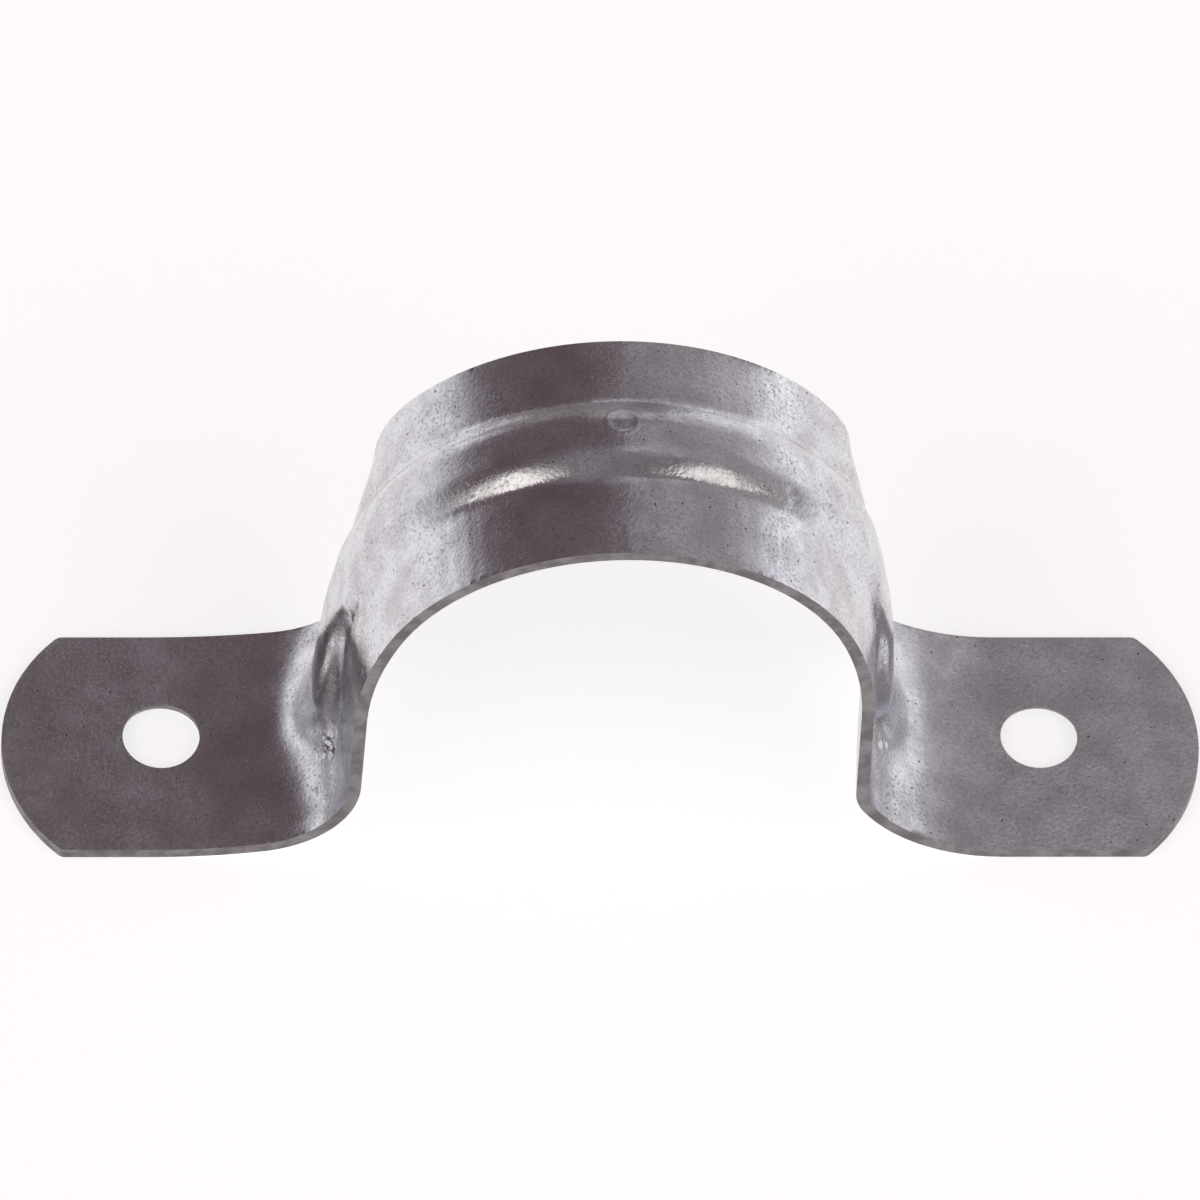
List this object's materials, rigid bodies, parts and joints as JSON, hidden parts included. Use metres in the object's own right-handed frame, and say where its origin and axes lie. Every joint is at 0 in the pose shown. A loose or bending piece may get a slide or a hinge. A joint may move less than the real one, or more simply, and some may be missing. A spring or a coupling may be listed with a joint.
{
  "type": "conduit strap",
  "caption": "Pressed steel strap that holds a round conduit flat against a wall, an arch with a stiffening bead between drilled feet.",
  "frame": {"origin": "middle of the arch, on the wall plane under the feet, half way across the strip", "axes": "+X along the strap toward the right foot, +Y along the conduit toward the back edge, +Z away from the wall"},
  "size_m": [0.082, 0.0176, 0.0371],
  "materials": {
    "galvanised_steel": "satin zinc coat, faintly mottled, with bare sheared edges"
  },
  "bodies": {
    "root": {"strap": "galvanised_steel"}
  },
  "joints": []
}
